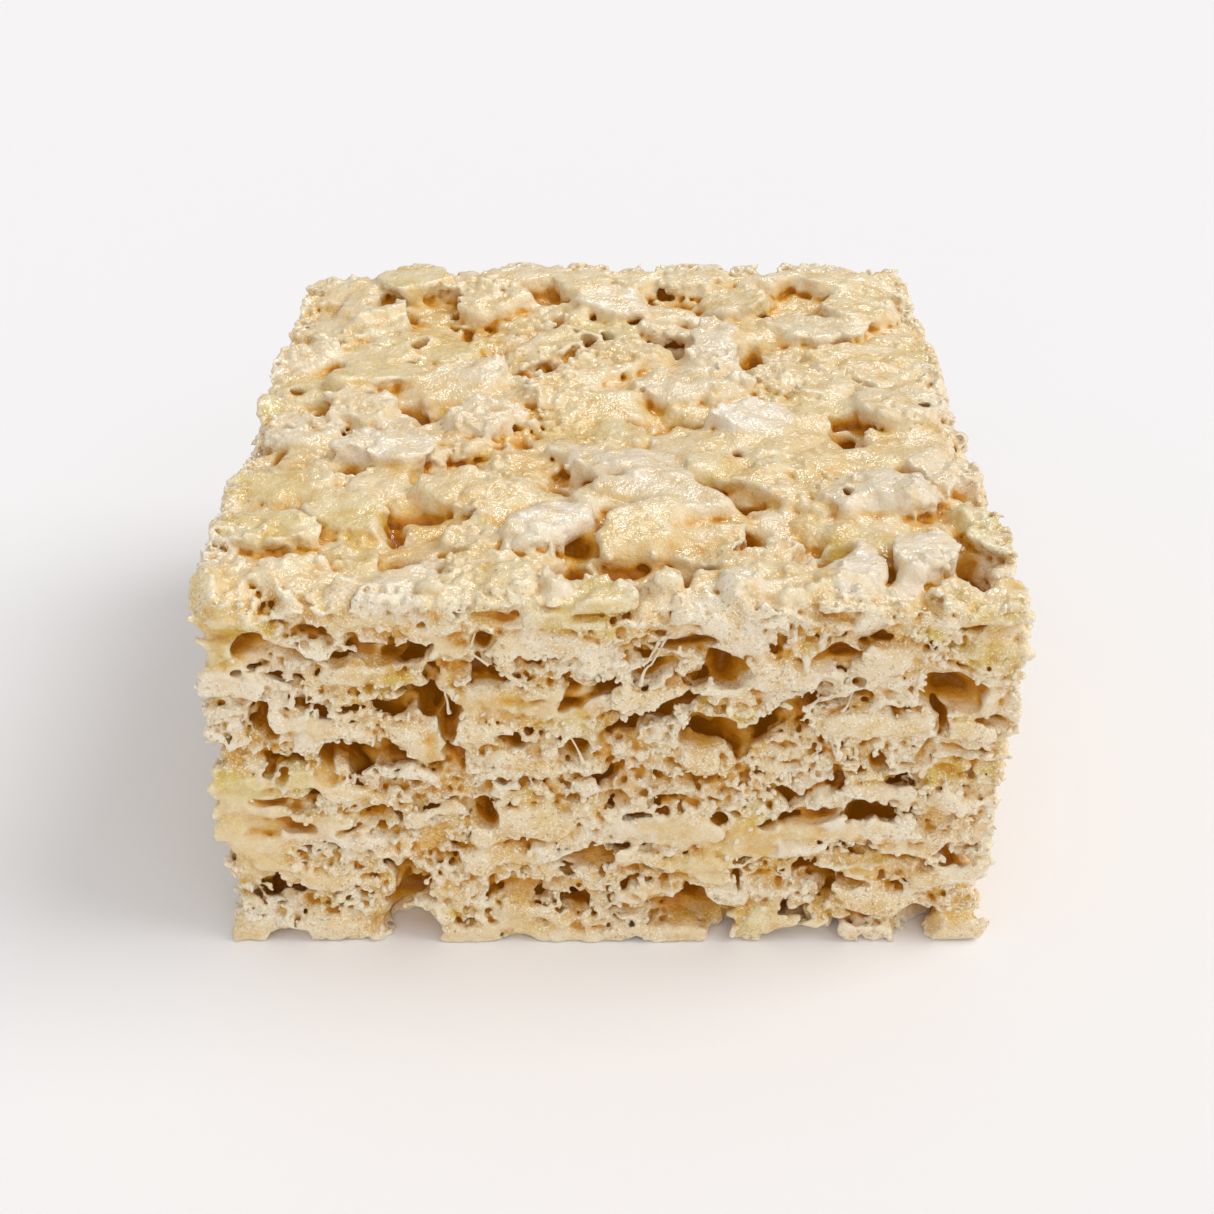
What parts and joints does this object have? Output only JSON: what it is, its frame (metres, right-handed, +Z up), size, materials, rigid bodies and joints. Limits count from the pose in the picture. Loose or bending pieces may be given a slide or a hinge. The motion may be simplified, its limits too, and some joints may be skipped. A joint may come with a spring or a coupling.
{
  "type": "puffed rice and marshmallow square",
  "caption": "Thick square of puffed rice set in marshmallow, with a pressed top and cut sides that show its layers and gaps.",
  "frame": {"origin": "middle of the underside, on the surface that the square stands on", "axes": "+Z up out of the pressed top, -Y out of the front cut side, +X to the right of the front cut side"},
  "size_m": [0.0526, 0.0524, 0.0291],
  "materials": {
    "puffed_rice": "semi-gloss glaze of set marshmallow over pale toasted rice foam"
  },
  "bodies": {
    "root": {"treat": "puffed_rice"}
  },
  "joints": []
}
